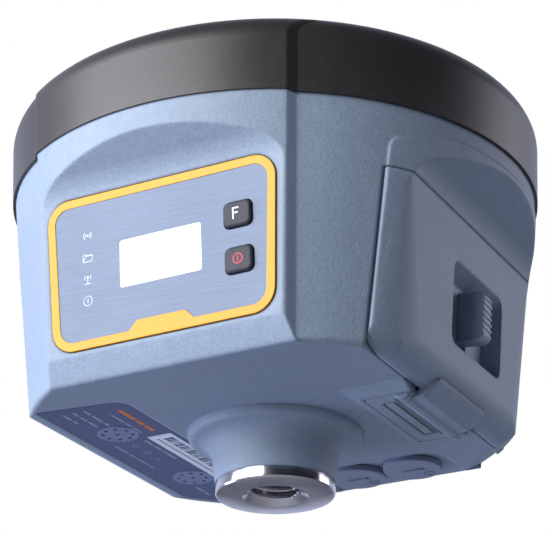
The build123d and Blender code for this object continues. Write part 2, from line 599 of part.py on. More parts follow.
def latch_screws():
    """Four small screws for the latch cover."""
    screws = []
    for u, v in LATCH_SCREWS:
        head = extrude(DOOR.offset(COVER_W[0] - 0.45) * Pos(LATCH_U + u, v) * Circle(1.5), amount=0.45)
        shank = extrude(DOOR.offset(COVER_W[0] - 0.1) * Pos(LATCH_U + u, v) * Circle(0.78), amount=4.2)
        screws.append(head + shank)
    return Compound(screws)


# ---------------------------------------------------------------- hinge
def hinge_block():
    """The bracket in the base with the two outer knuckles."""
    y0, y1 = HINGE_Y - HINGE_HALF, HINGE_Y + HINGE_HALF
    body = block((35.5, y0, 16.0), (49.4, y1, HINGE_TOP), 1.5, Axis.Z)
    body += rod_y(BARREL_RADIUS, y0, y0 + KNUCKLE, HINGE_X, HINGE_Z)
    body += rod_y(BARREL_RADIUS, y1 - KNUCKLE, y1, HINGE_X, HINGE_Z)
    body -= block((43.4, y0 + KNUCKLE, 10), (60, y1 - KNUCKLE, 25))
    body -= block((38.8, HINGE_Y - 13.5, 10), (42.9, HINGE_Y + 13.5, 17.4), 0.6, Axis.Z)
    return body - rod_y(PIN_RADIUS + 0.02, y0 + 0.35, y1 - 0.35, HINGE_X, HINGE_Z)


def hinge_plate():
    """The small cover plate let into the hinge bracket."""
    return block((38.95, HINGE_Y - 13.35, 16.05), (42.75, HINGE_Y + 13.35, 17.4), 0.5, Axis.Z)


def hinge_pin():
    """The steel pin through the knuckles and the door's lug."""
    return rod_y(PIN_RADIUS, HINGE_Y - HINGE_HALF + 0.4, HINGE_Y + HINGE_HALF - 0.4, HINGE_X, HINGE_Z)


# ---------------------------------------------------------------- base
def mount_insert():
    """The steel ring and threaded sleeve that seat on the pole."""
    ring = make_face(Polyline((0, 0), (RING_RADIUS - 1.0, 0), (RING_RADIUS, 1.0), (RING_RADIUS, BOSS_FOOT_Z),
                              (12.0, BOSS_FOOT_Z), (12.0, 26.0), (0, 26.0), close=True))
    bore = make_face(Polyline((0, -1), (THREAD_RADIUS + 2.2, -1), (THREAD_RADIUS, 1.2),
                              (THREAD_RADIUS, THREAD_DEPTH), (0, THREAD_DEPTH + 2), close=True))
    return revolve(Plane.XZ * ring, Axis.Z) - revolve(Plane.XZ * bore, Axis.Z)


def base_label():
    """The identification plate let into the underside."""
    plate = extrude(Plane.XY.offset(BASE_Z) * label_outline(), amount=0.6)
    for y in (-GRILLE_Y, GRILLE_Y):
        plate -= rod(6.1, BASE_Z - 1, BASE_Z + 2, (GRILLE_X, y))
    return plate


def serial_sticker():
    """The paper sticker on the identification plate."""
    return block((-32.5, -15.0, BASE_Z - 0.12), (-24.9, 27.0, BASE_Z))


def speaker_grilles():
    """Two round inserts with nine sound holes each."""
    grilles = []
    for y in (-GRILLE_Y, GRILLE_Y):
        disc = rod(6.0, BASE_Z - 0.1, BASE_Z + 0.62, (GRILLE_X, y))
        disc -= rod(0.6, BASE_Z - 1, BASE_Z + 2, (GRILLE_X, y))
        for i in range(8):
            turn = math.radians(45 * i + 22.5)
            at = (GRILLE_X + 4.1 * math.cos(turn), y + 4.1 * math.sin(turn))
            disc -= rod(0.6, BASE_Z - 1, BASE_Z + 2, at)
        grilles.append(disc)
    return Compound(grilles)


def speaker():
    """The loudspeaker over the front grille and the sounder over the rear one."""
    at = (GRILLE_X - 1.5, -GRILLE_Y)
    front = rod(9.5, 21.2, 25.0, at) + rod(6.0, 25.0, 27.5, at)
    return Compound([front, rod(7.0, 21.2, 26.0, (GRILLE_X, GRILLE_Y))])


def port(name):
    """A round connector in the underside, with its pins."""
    at = PORTS[name]
    shell = rod(PORT_RADIUS, BASE_Z + 1.6, 31.0, at, hole=PORT_RADIUS - 1)
    shell += rod(PORT_RADIUS - 1, 24.0, 31.0, at)
    pins = 5 if name == "data" else 2
    for i in range(pins):
        turn = 2 * math.pi * i / pins
        shell += rod(0.5, 20.6, 25.0, (at[0] + 2.2 * math.cos(turn), at[1] + 2.2 * math.sin(turn)))
    return shell


def port_cap(name):
    """The soft cap that plugs into a connector."""
    at = PORTS[name]
    flange = rod(CAP_RADIUS, BASE_Z - 0.75, BASE_Z + 0.85, at)
    rim = [e for e in flange.edges() if e.center().Z < BASE_Z]
    plug = rod(PORT_RADIUS - 1.4, BASE_Z + 0.8, BASE_Z + 2.2, at)
    grip = block((at[0] - 3.4, at[1] - 0.8, BASE_Z - 1.25), (at[0] + 3.4, at[1] + 0.8, BASE_Z - 0.7), 0.7)
    return fillet(rim, 0.5) + plug + grip


# ---------------------------------------------------------------- battery bay
def battery_bay():
    """The moulded box that holds the battery behind the door."""
    outer = block(BAY_LOW, BAY_HIGH, 2.0, Axis.X)
    inner = block((BAY_LOW[0] + BAY_WALL, BAY_LOW[1] + BAY_WALL, BAY_LOW[2] + BAY_WALL),
                  (60, BAY_HIGH[1] - BAY_WALL, BAY_HIGH[2] - BAY_WALL), 1.4, Axis.X)
    return outer - inner


def battery_pack():
    """The removable battery with rounded edges."""
    pack = block(BATTERY_LOW, BATTERY_HIGH)
    return fillet(pack.edges().filter_by(Axis.X), 2.0)


def battery_contacts():
    """Four spring contacts between the bay's rear wall and the battery."""
    return Compound([block((BAY_LOW[0] + BAY_WALL, y - 1.2, 28.0), (BATTERY_LOW[0] - 0.05, y + 1.2, 34.0))
                     for y in (-12, -6, 6, 12)])


def battery_label():
    """The paper label on the battery's outer face."""
    return block((BATTERY_HIGH[0], -30, 30), (BATTERY_HIGH[0] + 0.1, 30, 56))


def sim_tray():
    """The card holder on top of the battery bay."""
    return block((30.0, 20.0, 65.0), (45.0, 36.0, 67.0), 1.0)


# ---------------------------------------------------------------- electronics
def main_board():
    """The main board, cut away over the door's ledge."""
    board = block((-48, -50, MAIN_BOARD_Z), (46, 50, MAIN_BOARD_Z + 1.6), 12.0)
    for x, y in SCREW_POSTS:
        board -= rod(6.2, 60, 90, (x, y))
    for x, y in BOARD_HOLES:
        board -= rod(1.3, 60, 90, (x, y))
    return board


def board_standoffs():
    """Four pillars from the bay and the housing's floor to the main board."""
    return Compound([rod(3.0, BASE_Z + WALL, MAIN_BOARD_Z, at, hole=1.1) for at in BOARD_HOLES])


def board_screws():
    """Four screws that hold the main board."""
    return Compound([rod(2.3, MAIN_BOARD_Z + 1.6, MAIN_BOARD_Z + 3.2, at)
                     + rod(1.0, MAIN_BOARD_Z - 6, MAIN_BOARD_Z + 1.7, at) for at in BOARD_HOLES])


def on_board(x0, y0, x1, y1, height, corner=0.6):
    """A part that stands on the main board."""
    return block((x0, y0, MAIN_BOARD_Z + 1.6), (x1, y1, MAIN_BOARD_Z + 1.6 + height), corner)


def shield_cans():
    """Three tinned shields over the board's radio sections."""
    return Compound([on_board(-34, -44, -12, -22, 2.8), on_board(6, 24, 30, 42, 2.4),
                     on_board(-8, -46, 10, -30, 2.4)])


def antenna_tray():
    """The plastic tray that carries the antenna over the main board."""
    tray = rod(52.0, DECK_Z - 2.0, DECK_Z)
    for x, y in BOARD_HOLES:
        tray += rod(3.0, MAIN_BOARD_Z + 3.2, DECK_Z, (x, y))
        tray += block((x - 3, 0, DECK_Z - 2.0), (x + 3, y, DECK_Z))
    return tray - rod(2.0, 70, 100, FEED_AT[0]) - rod(2.0, 70, 100, FEED_AT[1])


def antenna_ground_plane():
    """The metal disc under the antenna patches."""
    return rod(50.0, DECK_Z, DECK_Z + 1.0) - rod(1.6, 80, 100, FEED_AT[0]) - rod(1.6, 80, 100, FEED_AT[1])


def patch(radius, low, thickness):
    """One ceramic or laminate antenna patch, square with cut corners."""
    plate = block((-radius, -radius, low), (radius, radius, low + thickness), 4.0)
    for at in FEED_AT:
        plate -= rod(0.8, low - 1, low + thickness + 1, at)
    return plate


def feed_pins():
    """Two pins that feed the patches from the amplifier below."""
    return Compound([rod(0.7, 82.0, DECK_Z + 13.6, at) for at in FEED_AT])


def lna_shield():
    """The shielded amplifier under the antenna tray."""
    can = block((-16, -14, 80.5), (16, 14, DECK_Z - 2.0), 1.0)
    can -= block((-15, -13, 79), (15, 13, DECK_Z - 3.0))
    return can - rod(1.2, 80, 90, FEED_AT[0]) - rod(1.2, 80, 90, FEED_AT[1])


def wifi_antenna():
    """A small upright antenna board beside the main antenna."""
    return block((-58.5, -8, 86.2), (-57.3, 8, 100.0)) + block((-59.5, -9, 84.2), (-53.0, 9, 86.2))


def coax_cable():
    """The screened lead from the amplifier down to the receiver module."""
    path = FilletPolyline((0, 0, 80.5), (0, 0, 77.5), (-12, 8, 77.5), (-24, 8, 77.5), radius=1.6)
    return sweep(Plane(origin=path @ 0, z_dir=path % 0) * Circle(0.8), path=path)


def panel_ribbon():
    """The flat cable from the keypad board up to the main board."""
    ribbon = block((-8, -53.5, 50.0), (8, -53.2, MAIN_BOARD_Z))
    return ribbon + block((-8, -57.0, 50.0), (8, -53.2, 50.3))


NODES = {
    "radome": radome,
    "radome_gasket": radome_gasket,
    "radome_screws": radome_screws,
    "lower_housing": lower_housing,
    "panel_border": border,
    "panel_plate": panel_plate,
    "panel_gasket": panel_gasket,
    "function_key": lambda: key(KEY_V["function_key"]),
    "power_key": lambda: key(KEY_V["power_key"]),
    "display_window": display_window,
    "display_module": display_module,
    "status_lenses": status_lenses,
    "keypad_board": keypad_board,
    "dome_switches": dome_switches,
    "battery_door": battery_door,
    "door_gasket": door_gasket,
    "latch_knob": latch_knob,
    "latch_bolt": latch_bolt,
    "latch_spring": latch_spring,
    "latch_cover": latch_cover,
    "latch_screws": latch_screws,
    "hinge_block": hinge_block,
    "hinge_plate": hinge_plate,
    "hinge_pin": hinge_pin,
    "mount_insert": mount_insert,
    "base_label": base_label,
    "serial_sticker": serial_sticker,
    "speaker_grilles": speaker_grilles,
    "speaker": speaker,
    "data_port": lambda: port("data"),
    "power_port": lambda: port("power"),
    "data_port_cap": lambda: port_cap("data"),
    "power_port_cap": lambda: port_cap("power"),
    "battery_bay": battery_bay,
    "battery_pack": battery_pack,
    "battery_contacts": battery_contacts,
    "battery_label": battery_label,
    "sim_tray": sim_tray,
    "main_board": main_board,
    "board_standoffs": board_standoffs,
    "board_screws": board_screws,
    "shield_cans": shield_cans,
    "gnss_module": lambda: on_board(-34, -4, -6, 20, 3.4),
    "radio_module": lambda: on_board(8, -24, 36, 0, 4.2),
    "cellular_module": lambda: on_board(8, 4, 34, 20, 2.6),
    "tilt_sensor": lambda: on_board(-6, -14, 2, -6, 3.0),
    "backup_cell": lambda: rod(5.0, MAIN_BOARD_Z + 1.6, MAIN_BOARD_Z + 5.0, (-20, 32)),
    "antenna_tray": antenna_tray,
    "antenna_ground_plane": antenna_ground_plane,
    "lower_patch": lambda: patch(33.0, DECK_Z + 1.0, 7.0),
    "upper_patch": lambda: patch(23.0, DECK_Z + 8.0, 5.0),
    "feed_pins": feed_pins,
    "lna_shield": lna_shield,
    "wifi_antenna": wifi_antenna,
    "coax_cable": coax_cable,
    "panel_ribbon": panel_ribbon,
}

os.makedirs("parts", exist_ok=True)
for name, build in NODES.items():
    export_step(build(), f"parts/{name}.step")
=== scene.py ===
import json
import math

import bmesh
import bpy
from mathutils import Matrix, Vector
from mathutils.bvhtree import BVHTree


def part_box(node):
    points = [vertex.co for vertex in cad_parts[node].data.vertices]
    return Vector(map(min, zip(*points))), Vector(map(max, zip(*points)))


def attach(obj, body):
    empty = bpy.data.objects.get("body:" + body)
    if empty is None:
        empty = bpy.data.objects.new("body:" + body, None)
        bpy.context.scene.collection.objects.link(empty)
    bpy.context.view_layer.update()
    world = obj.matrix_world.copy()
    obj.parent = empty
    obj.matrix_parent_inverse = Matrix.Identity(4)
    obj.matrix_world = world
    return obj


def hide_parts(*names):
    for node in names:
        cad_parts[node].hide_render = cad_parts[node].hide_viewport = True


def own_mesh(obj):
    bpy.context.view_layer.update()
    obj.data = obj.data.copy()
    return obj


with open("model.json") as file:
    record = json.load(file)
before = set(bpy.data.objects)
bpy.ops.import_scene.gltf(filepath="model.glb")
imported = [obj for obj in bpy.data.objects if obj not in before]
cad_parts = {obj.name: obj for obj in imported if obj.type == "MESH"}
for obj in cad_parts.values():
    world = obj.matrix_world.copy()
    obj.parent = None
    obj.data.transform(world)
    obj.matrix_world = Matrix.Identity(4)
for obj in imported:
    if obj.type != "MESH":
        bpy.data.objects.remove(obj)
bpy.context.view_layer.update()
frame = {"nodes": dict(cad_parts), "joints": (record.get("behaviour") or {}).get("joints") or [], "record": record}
record = frame["record"]
nodes = frame["nodes"]
joints = {joint["name"]: joint for joint in frame["joints"]}
MM = 0.001

# ---------------------------------------------------------------- driving values, in metres unless said
CAMERA_AT = (0.26017, -0.48882, -0.18493)
CAMERA_TURN = (math.radians(114.68), 0.0, math.radians(28.02))
LENS = 138.035                       # millimetres, on a sensor 36 mm wide
SENSOR = 36.0
CLIP_START = 0.01

LAMP_AIM = Vector((0, 0, 0.07))      # the middle of the object
LAMPS = {
    "key_lamp": dict(azimuth=-27, elevation=14, distance=1.1, size=(1.3, 0.8), power=25.5,
                     colour=(0.97, 0.98, 1.01)),
    "side_lamp": dict(azimuth=134, elevation=12, distance=1.2, size=(0.6, 0.6), power=3.8,
                      colour=(1.0, 0.95, 1.04)),
    "low_lamp": dict(azimuth=-72, elevation=-24, distance=1.1, size=(0.5, 0.5), power=4.4,
                     colour=(0.84, 0.88, 1.36)),
}

BEHIND = Vector((-0.47, 0.88, 0.0))  # the directions in which the surroundings are bright
LEFTWARD = Vector((-0.80, -0.60, 0.0))
DOWNWARD = (0, 0, -1)
SKY_TINT = (0.84, 0.93, 1.22, 1.0)
WHITE = (1.0, 1.0, 1.0, 1.0)

FLOOR_Z = -0.85
FLOOR_HALF = 2.5
FLOOR_STEPS = 24
FLOOR_BOUNCE = 0.5                   # the share of its light that the floor gives back to the object

UP = Vector((0, 0, 1))
FROM_BELOW = (0, 0, 1)               # the inward direction of a face on the underside
PRINT_UP = (1, 0, 0)                 # the upward direction of print on the underside
RAY_START = 0.2                      # how far outside a face its ray starts
MERGE = 1e-7
PRINT_SINK = 0.01                    # millimetres, as the print's heights below
PRINT_RAISE = 0.03
THIN_RAISE = 0.02
CAP_MARK_RAISE = 0.05

PITCH = 25.4 / 11 * MM               # eleven threads to the inch
THREAD_DEPTH = 1.1 * MM
THREAD_ROWS = 220
THREAD_LEAD_IN = 1.2 * MM
RING_FOOT = 3.33 * MM                # the height of the ring's visible band
RING_SLEEVE = 12.0 * MM
RING_FACE = 2.2 * MM                 # from the thread's crest to the flat seat
RING_DEPTH = 22.0 * MM
RING_STEPS = 120
AXIS_GAP = 0.001 * MM
SHARP_ANGLE = math.radians(28)
NEAR = 1e-6


# ---------------------------------------------------------------- camera and lamps
def add_camera():
    data = bpy.data.cameras.new("camera")
    data.lens = LENS
    data.sensor_width = SENSOR
    data.clip_start = CLIP_START
    camera = bpy.data.objects.new("camera", data)
    camera.location = CAMERA_AT
    camera.rotation_euler = CAMERA_TURN
    bpy.context.scene.collection.objects.link(camera)
    bpy.context.scene.camera = camera


def add_area(name, azimuth, elevation, distance, size, power, colour):
    """A rectangular lamp facing the object: azimuth 0 is in front, 90 on the door's side."""
    data = bpy.data.lights.new(name, "AREA")
    data.shape = "RECTANGLE"
    data.size, data.size_y = size
    data.energy = power
    data.color = colour
    lamp = bpy.data.objects.new(name, data)
    a, e = math.radians(azimuth), math.radians(elevation)
    away = Vector((math.sin(a) * math.cos(e), -math.cos(a) * math.cos(e), math.sin(e)))
    lamp.location = LAMP_AIM + away * distance
    lamp.rotation_euler = away.to_track_quat("Z", "Y").to_euler()
    bpy.context.scene.collection.objects.link(lamp)


# ---------------------------------------------------------------- materials
class Net:
    """A short way to write a node tree."""

    def __init__(self, tree):
        self.tree = tree
        tree.nodes.clear()

    def add(self, kind, **settings):
        """A node; in_3=value feeds its fourth input, and any other name is one of its settings."""
        node = self.tree.nodes.new(kind)
        for key, value in settings.items():
            if key.startswith("in_"):
                self.feed(node.inputs[int(key[3:])], value)
            else:
                setattr(node, key, value)
        return node

    def feed(self, socket, value):
        if isinstance(value, bpy.types.NodeSocket):
            self.tree.links.new(value, socket)
        else:
            socket.default_value = value

    def math(self, operation, a, b):
        return self.add("ShaderNodeMath", operation=operation, in_0=a, in_1=b).outputs[0]

    def along(self, way, direction):
        node = self.add("ShaderNodeVectorMath", operation="DOT_PRODUCT", in_0=way, in_1=direction)
        return node.outputs["Value"]

    def remap(self, value, low, high, out_low, out_high, smooth=False):
        node = self.add("ShaderNodeMapRange", in_0=value, in_1=low, in_2=high, in_3=out_low, in_4=out_high)
        if smooth:
            node.interpolation_type = "SMOOTHSTEP"
        return node.outputs[0]

    def mix(self, share, a, b, blend="MIX"):
        node = self.add("ShaderNodeMix", data_type="RGBA", blend_type=blend)
        self.feed(node.inputs[0], share)
        self.feed(node.inputs[6], a)
        self.feed(node.inputs[7], b)
        return node.outputs[2]

    def grey(self, value):
        return self.add("ShaderNodeCombineColor", in_0=value, in_1=value, in_2=value).outputs[0]

    def noise(self, where, scale, detail=2.0, rough=0.5):
        return self.add("ShaderNodeTexNoise", in_0=where, in_2=scale, in_3=detail, in_4=rough).outputs[0]


def add_world():
    """White to the camera. As light: bright behind the object, a little from the left, dim below."""
    world = bpy.data.worlds.new("studio")
    world.use_nodes = True
    bpy.context.scene.world = world
    net = Net(world.node_tree)
    way = net.add("ShaderNodeTexCoord").outputs["Generated"]
    behind = net.along(way, BEHIND)
    leftward = net.along(way, LEFTWARD)
    below = net.along(way, DOWNWARD)
    level = net.remap(behind, -0.05, 0.75, 0.03, 0.82, True)
    level = net.math("ADD", level, net.remap(leftward, 0.0, 1.0, 0.0, 0.24, True))
    level = net.math("ADD", level, net.remap(below, 0.0, 0.9, 0.0, 0.06, True))
    level = net.math("MULTIPLY", level, net.remap(below, -0.05, 0.5, 1.0, 0.22, True))
    light = net.mix(1.0, SKY_TINT, net.grey(level), "MULTIPLY")
    seen = net.add("ShaderNodeLightPath").outputs["Is Camera Ray"]
    background = net.add("ShaderNodeBackground", in_0=net.mix(seen, light, WHITE), in_1=1.0)
    net.tree.links.new(background.outputs[0], net.add("ShaderNodeOutputWorld").inputs[0])


SECOND_SHADE = 0.86                  # the second colour, as a share of the first, where none is given
EDGE_CURVE = (0.51, 0.58)            # how sharp an edge has to be before it pales
EDGE_PALER = (1.9, 0.03)             # gain and lift of the paler colour
COAT_ROUGHNESS = 0.12
BUMP_HEIGHT = 0.00008
BEVEL_SAMPLES = 8


def surface(name, colour, second=None, mottle=40.0, rough=(0.4, 0.5), metallic=0.0, grain=900.0, speck=0.0,
            stretch=None, coat=0.0, edge=0.0, emission=0.0, sheen=0.0, bump=0.3, specular=0.5, soft=0.0):
    """A material from noise: a slow change between two colours, a fine grain with bump, and paler edges that are
    partly wear and partly a painted highlight.

    mottle and grain are noise scales per metre, stretch scales the grain's axes, speck is the grain's
    share in colour, and soft is the radius in metres by which edges are rounded in shading.
    """
    material = bpy.data.materials.new(name)
    material.use_nodes = True
    net = Net(material.node_tree)
    shader = net.add("ShaderNodeBsdfPrincipled")
    net.tree.links.new(shader.outputs[0], net.add("ShaderNodeOutputMaterial").inputs[0])
    where = net.add("ShaderNodeTexCoord").outputs["Object"]

    other = second or [channel * SECOND_SHADE for channel in colour]
    slow = net.remap(net.noise(where, mottle, 3.0), 0.35, 0.65, 0.0, 1.0)
    tone = net.mix(slow, (*colour, 1.0), (*other, 1.0))
    fine_at = net.add("ShaderNodeMapping", in_0=where, in_3=stretch).outputs[0] if stretch else where
    fine = net.noise(fine_at, grain, 2.0, 0.6)
    if speck:
        tone = net.mix(1.0, tone, net.grey(net.remap(fine, 0.3, 0.7, 1.0 - speck, 1.0 + speck)), "MULTIPLY")
    # paler convex edges in noise patches: partly wear, partly a painted highlight along the edges
    if edge:
        curve = net.add("ShaderNodeNewGeometry").outputs["Pointiness"]
        patches = net.remap(net.noise(where, 260.0), 0.35, 0.6, 0.3, 1.0)
        wear_and_edge_highlight = net.math("MULTIPLY", net.remap(curve, *EDGE_CURVE, 0.0, edge), patches)
        gain, lift = EDGE_PALER
        tone = net.mix(wear_and_edge_highlight, tone, (*[min(1.0, channel * gain + lift) for channel in colour], 1.0))

    net.feed(shader.inputs["Base Color"], tone)
    net.feed(shader.inputs["Roughness"], net.remap(fine, 0.3, 0.7, *rough))
    shader.inputs["Metallic"].default_value = metallic
    shader.inputs["Coat Weight"].default_value = coat
    shader.inputs["Coat Roughness"].default_value = COAT_ROUGHNESS
    shader.inputs["Sheen Weight"].default_value = sheen
    shader.inputs["Specular IOR Level"].default_value = specular
    if bump:
        relief = net.add("ShaderNodeBump", in_0=bump, in_1=BUMP_HEIGHT)
        net.feed(relief.inputs["Height"], fine)
        if soft:
            rounded = net.add("ShaderNodeBevel", samples=BEVEL_SAMPLES, in_0=soft).outputs[0]
            net.feed(relief.inputs["Normal"], rounded)
        net.tree.links.new(relief.outputs[0], shader.inputs["Normal"])
    if emission:
        shader.inputs["Emission Color"].default_value = (*colour, 1.0)
        shader.inputs["Emission Strength"].default_value = emission
    return material


def ink(colour, speck=0.06):
    """The settings of a printed colour."""
    return dict(colour=colour, mottle=400, rough=(0.5, 0.6), grain=2500, speck=speck, bump=0.1)


FINISHES = {
    # the case
    "radome_plastic": dict(colour=(0.034, 0.029, 0.030), second=(0.028, 0.024, 0.025), mottle=30,
                           rough=(0.36, 0.46), grain=2600, speck=0.10, bump=0.25, edge=0.12),
    "housing_paint": dict(colour=(0.250, 0.318, 0.410), second=(0.235, 0.300, 0.392), mottle=25,
                          rough=(0.50, 0.66), grain=1600, speck=0.13, bump=1.0, edge=0.10, soft=1.3 * MM),
    "border_yellow": dict(colour=(0.80, 0.365, 0.024), second=(0.78, 0.352, 0.021), mottle=60,
                          rough=(0.42, 0.50), grain=1500, speck=0.02, bump=0.08, coat=0.08,
                          specular=0.3, soft=0.25 * MM),
    "panel_metal": dict(colour=(0.196, 0.246, 0.345), second=(0.180, 0.230, 0.324), mottle=45,
                        rough=(0.48, 0.62), specular=0.35, grain=2400, stretch=(0.05, 1.0, 1.0),
                        speck=0.14, bump=0.12),
    "key_rubber": dict(colour=(0.045, 0.046, 0.062), second=(0.039, 0.040, 0.054), mottle=150,
                       rough=(0.50, 0.62), specular=0.3, soft=0.5 * MM, grain=2600, speck=0.08,
                       bump=0.15, edge=0.15),
    # the display glass glows a little through its emission: painted light that brightens the screen
    "display_glass": dict(colour=(0.90, 0.93, 0.98), second=(0.87, 0.91, 0.98), mottle=80,
                          rough=(0.14, 0.22), grain=600, bump=0.0, coat=0.3, emission=0.34),
    "lamp_guide": dict(colour=(0.188, 0.238, 0.335), second=(0.178, 0.226, 0.32), mottle=300,
                       rough=(0.48, 0.6), grain=1500, speck=0.05, bump=0.1, specular=0.35),
    "latch_plastic": dict(colour=(0.235, 0.280, 0.350), second=(0.215, 0.260, 0.328), mottle=120,
                          rough=(0.38, 0.48), grain=2400, speck=0.08, bump=0.3, edge=0.2,
                          soft=0.3 * MM),
    # the underside
    "ring_steel": dict(colour=(0.60, 0.58, 0.60), second=(0.48, 0.46, 0.49), mottle=90,
                       rough=(0.10, 0.24), metallic=1.0, grain=700, stretch=(0.2, 0.2, 6.0),
                       speck=0.05, bump=0.05),
    "label_plate": dict(colour=(0.088, 0.122, 0.245), second=(0.080, 0.112, 0.228), mottle=35,
                        rough=(0.42, 0.55), grain=1700, speck=0.08, bump=0.15),
    "sticker_paper": dict(colour=(0.86, 0.91, 0.98), second=(0.83, 0.88, 0.96), mottle=80,
                          rough=(0.55, 0.7), grain=1300, speck=0.04, bump=0.2),
    "grille_plastic": dict(colour=(0.215, 0.262, 0.420), second=(0.198, 0.245, 0.395), mottle=110,
                           rough=(0.5, 0.62), grain=2300, speck=0.1, bump=0.4),
    "cap_rubber": dict(colour=(0.205, 0.250, 0.350), second=(0.185, 0.230, 0.325), mottle=70,
                       rough=(0.55, 0.7), grain=2300, speck=0.08, bump=0.4, sheen=0.15),
    # inside
    "module_black": dict(colour=(0.022, 0.022, 0.025), mottle=90, rough=(0.45, 0.6), grain=2000,
                         speck=0.1, bump=0.2),
    "bay_plastic": dict(colour=(0.045, 0.048, 0.055), mottle=60, rough=(0.5, 0.65), grain=1800,
                        speck=0.12, bump=0.4),
    "battery_plastic": dict(colour=(0.050, 0.053, 0.060), mottle=60, rough=(0.45, 0.6), grain=2200,
                            speck=0.12, bump=0.4, edge=0.15),
    "screw_steel": dict(colour=(0.50, 0.50, 0.51), mottle=200, rough=(0.25, 0.4), metallic=1.0,
                        grain=1500, speck=0.08, bump=0.15, edge=0.2),
    "seal_rubber": dict(colour=(0.012, 0.012, 0.013), mottle=120, rough=(0.6, 0.75), grain=1800,
                        speck=0.15, bump=0.3),
    "port_brass": dict(colour=(0.62, 0.45, 0.20), mottle=160, rough=(0.25, 0.4), metallic=1.0,
                       grain=1500, speck=0.1, bump=0.1, edge=0.2),
    "board_green": dict(colour=(0.012, 0.105, 0.055), second=(0.010, 0.085, 0.048), mottle=70,
                        rough=(0.32, 0.45), grain=800, speck=0.15, bump=0.2, coat=0.2),
    "shield_tin": dict(colour=(0.60, 0.61, 0.62), mottle=120, rough=(0.28, 0.42), metallic=1.0,
                       grain=600, speck=0.06, bump=0.15, edge=0.15),
    "plane_aluminium": dict(colour=(0.66, 0.67, 0.69), mottle=60, rough=(0.3, 0.45), metallic=1.0,
                            grain=900, stretch=(0.05, 1.0, 1.0), speck=0.06, bump=0.1),
    "patch_ceramic": dict(colour=(0.66, 0.61, 0.52), mottle=90, rough=(0.4, 0.5), grain=1400,
                          speck=0.06, bump=0.2),
    "coax_copper": dict(colour=(0.19, 0.11, 0.06), mottle=200, rough=(0.4, 0.55), grain=1900,
                        speck=0.12, bump=0.2),
    # print
    "print_white": ink((0.80, 0.84, 0.92)),
    "print_red": ink((0.60, 0.045, 0.075)),
    "print_orange": ink((0.68, 0.22, 0.07)),
    "print_pale": ink((0.36, 0.40, 0.55), 0.08),
    "print_dark": ink((0.10, 0.12, 0.20)),
}
materials = {name: surface(name, **settings) for name, settings in FINISHES.items()}


def dress_nodes():
    """Gives every CAD node the material of its slot in the record."""
    for part in record["subparts"]:
        node = nodes[part["node"]]
        if not node.material_slots:
            node.data.materials.append(materials[part["material_slot"]])
        for slot in node.material_slots:
            slot.material = materials[part["material_slot"]]


# ---------------------------------------------------------------- flat outlines, in millimetres
def flat_rect(x, y, width, height):
    w, h = width / 2, height / 2
    return [(x - w, y - h), (x + w, y - h), (x + w, y + h), (x - w, y + h)]


def flat_disc(x, y, radius, steps):
    angles = [2 * math.pi * i / steps for i in range(steps)]
    return [(x + radius * math.cos(a), y + radius * math.sin(a)) for a in angles]


def flat_arc(x, y, radius, width, start=0.0, end=360.0, steps=28):
    """A band round part of a circle; a whole ring closes on itself."""
    angles = [math.radians(start + (end - start) * i / steps) for i in range(steps + 1)]
    far, near = radius + width / 2, radius - width / 2
    outer = [(x + far * math.cos(a), y + far * math.sin(a)) for a in angles]
    inner = [(x + near * math.cos(a), y + near * math.sin(a)) for a in angles]
    return [[outer[i], outer[i + 1], inner[i + 1], inner[i]] for i in range(steps)]


def flat_line(points, width):
    """A band along a line of points, with mitred corners."""
    left, right = [], []
    for i, point in enumerate(points):
        here = Vector(point)
        before = (here - Vector(points[i - 1])).normalized() if i else None
        after = (Vector(points[i + 1]) - here).normalized() if i + 1 < len(points) else None
        onward = after or before
        way = ((before or after) + onward).normalized()
        side = Vector((-way.y, way.x))
        stretch = 1 / max(0.5, abs(side.dot(Vector((-onward.y, onward.x)))))
        left.append(tuple(here + side * width / 2 * stretch))
        right.append(tuple(here - side * width / 2 * stretch))
    return [[left[i], left[i + 1], right[i + 1], right[i]] for i in range(len(points) - 1)]


# ---------------------------------------------------------------- pieces on the frame
def new_piece(name, mesh_data, material, body):
    piece = bpy.data.objects.new(name, mesh_data)
    bpy.context.scene.collection.objects.link(piece)
    mesh_data.materials.append(materials[material])
    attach(piece, body)
    return piece


def mesh_data_of(mesh, name):
    """Turns a bmesh into mesh data and frees it."""
    data = bpy.data.meshes.new(name)
    mesh.to_mesh(data)
    mesh.free()
    return data


def printed(name, place, outlines, thickness, material, body):
    """Flat outlines in millimetres, raised a little over a face. place maps (x, y, height) onto the face."""
    mesh = bmesh.new()
    for outline in outlines:
        low = [mesh.verts.new(place @ Vector((x * MM, y * MM, -PRINT_SINK * MM))) for x, y in outline]
        high = [mesh.verts.new(place @ Vector((x * MM, y * MM, thickness * MM))) for x, y in outline]
        mesh.faces.new(high)
        mesh.faces.new(list(reversed(low)))
        for i in range(len(outline)):
            j = (i + 1) % len(outline)
            mesh.faces.new((low[i], low[j], high[j], high[i]))
    bmesh.ops.remove_doubles(mesh, verts=mesh.verts, dist=MERGE)
    bmesh.ops.recalc_face_normals(mesh, faces=mesh.faces)
    return new_piece(name, mesh_data_of(mesh, name), material, body)


def tree_of(node):
    mesh = bmesh.new()
    mesh.from_mesh(nodes[node].data)
    tree = BVHTree.FromBMesh(mesh)
    mesh.free()
    return tree


def middle(node):
    low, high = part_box(node)
    return (low + high) / 2


def face_place(node, point, inward, up):
    """The placement on a node's outer face where a line through a point along inward meets it."""
    inward = Vector(inward).normalized()
    hit = tree_of(node).ray_cast(Vector(point) - inward * RAY_START, inward)[0]
    side = Vector(up).cross(-inward).normalized()
    upward = (-inward).cross(side)
    place = Matrix((side, upward, -inward)).transposed().to_4x4()
    place.translation = hit
    return place


# ---------------------------------------------------------------- marks on the panel
LAMP_ROWS = (10.2, 3.8, -2.1, -8.2)  # the symbols' heights, in millimetres over the plate's middle
ROW_ZERO = 10.5                      # the height at which the plate's face is found
FINE_LINE = 0.17


